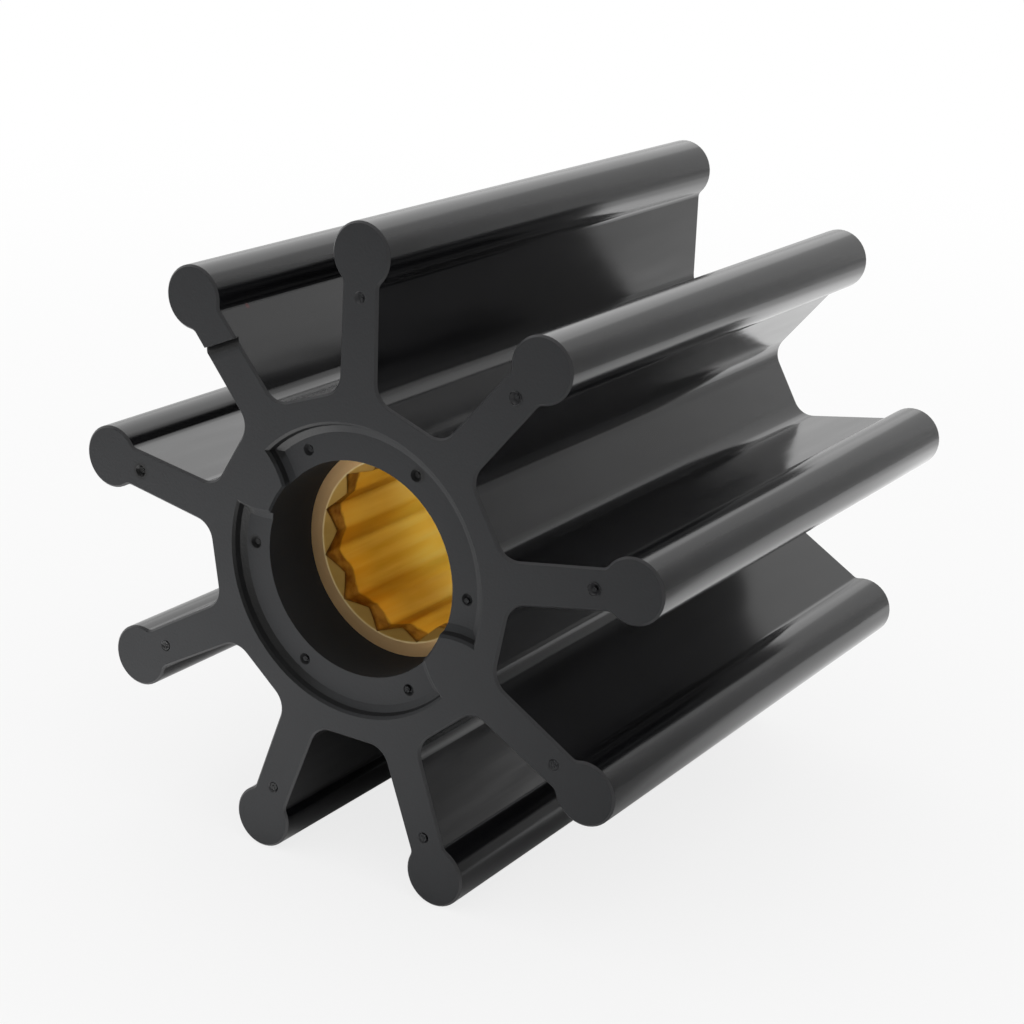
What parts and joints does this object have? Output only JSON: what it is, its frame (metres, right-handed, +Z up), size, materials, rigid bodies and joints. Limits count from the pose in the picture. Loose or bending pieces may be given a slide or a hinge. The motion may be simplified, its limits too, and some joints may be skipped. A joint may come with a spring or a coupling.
{
  "type": "rubber pump impeller",
  "caption": "Flexible-vane raw-water pump impeller: rubber moulding with round-tipped radial vanes, bonded to a brass bush with a splined shaft bore.",
  "frame": {"origin": "on the shaft axis, half way between the two end faces", "axes": "+Y along the shaft axis from the front end face to the rear one, +Z up with one vane pointing straight up, +X to the right seen from the front"},
  "size_m": [0.0938, 0.087, 0.0926],
  "materials": {
    "rubber": "matte moulded end faces, satin sides",
    "brass": "broached spline, turned end faces"
  },
  "bodies": {
    "root": {"impeller_body": "rubber", "splined_bush": "brass"}
  },
  "joints": []
}
